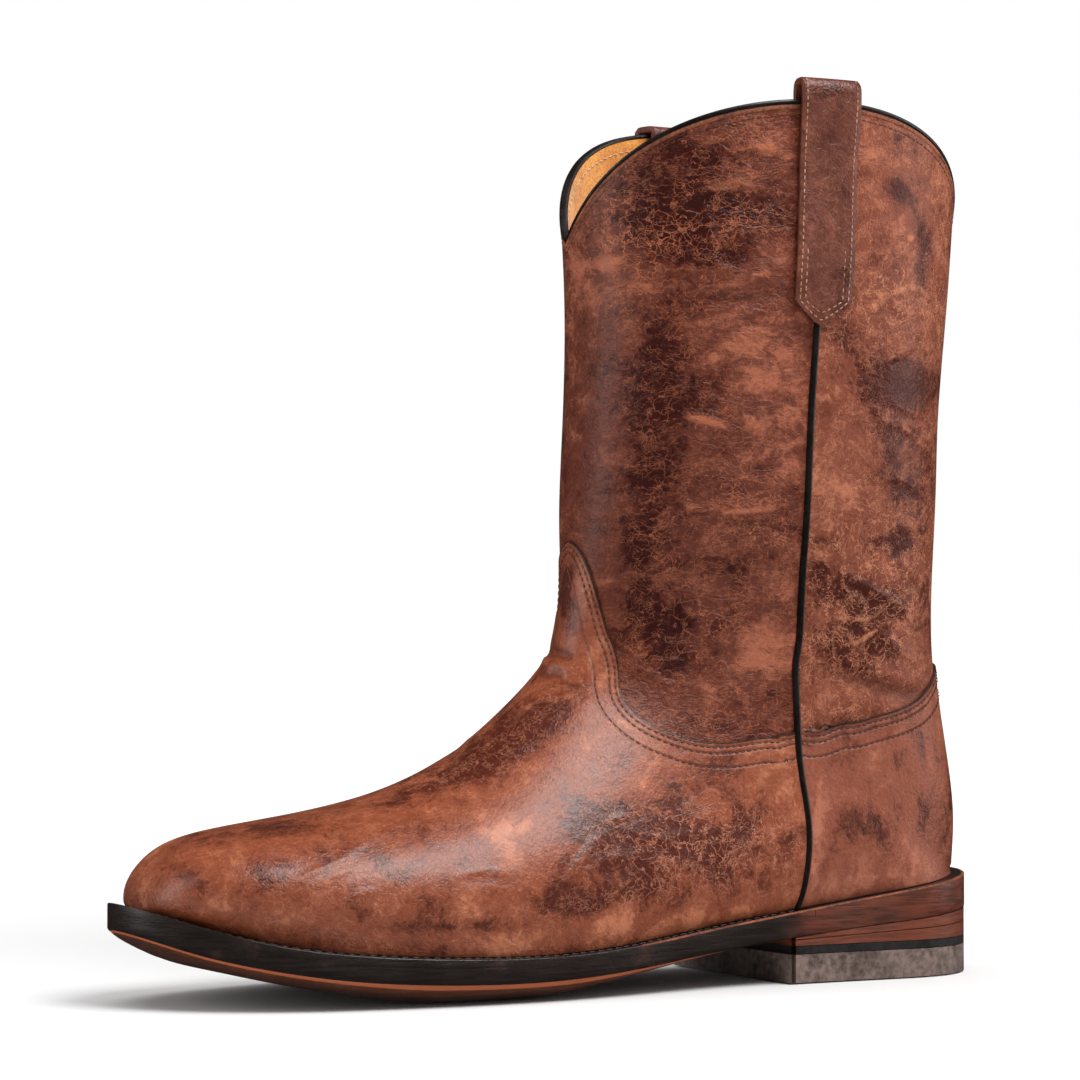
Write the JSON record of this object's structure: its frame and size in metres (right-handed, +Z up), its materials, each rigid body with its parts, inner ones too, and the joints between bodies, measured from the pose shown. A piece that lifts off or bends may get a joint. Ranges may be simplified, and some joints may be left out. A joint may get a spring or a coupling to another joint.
{
  "type": "roper boot",
  "caption": "Left pull-on roper boot: hollow leather upper with a scalloped collar, pull straps, welted leather sole and a low stacked heel.",
  "frame": {"origin": "on the floor, at the middle of the boot's overall length and width", "axes": "+Z up, -X towards the toe, +X towards the heel, -Y towards the outer (lateral) side, +Y towards the inner side"},
  "size_m": [0.302, 0.1112, 0.2904],
  "materials": {
    "upper_leather": "distressed brown, soft sheen",
    "strap_leather": "distressed brown, soft sheen",
    "piping_leather": "black, satin",
    "insole_leather": "natural, matt",
    "welt_leather": "dark edge dressing, satin",
    "sole_leather": "dark edge dressing, satin, tan underneath",
    "lift_leather": "burnished red-brown",
    "heel_layer_rubber": "black, matt",
    "heel_rubber": "grey-brown, matt"
  },
  "bodies": {
    "root": {"upper": "upper_leather", "pull_strap_lateral": "strap_leather", "pull_strap_medial": "strap_leather", "side_piping_lateral": "piping_leather", "side_piping_medial": "piping_leather", "insole": "insole_leather", "welt": "welt_leather", "heel_rand": "welt_leather", "outsole": "sole_leather", "heel_lift_upper": "lift_leather", "heel_lift_lower": "lift_leather", "heel_layer": "heel_layer_rubber", "heel_cap": "heel_rubber"}
  },
  "joints": []
}
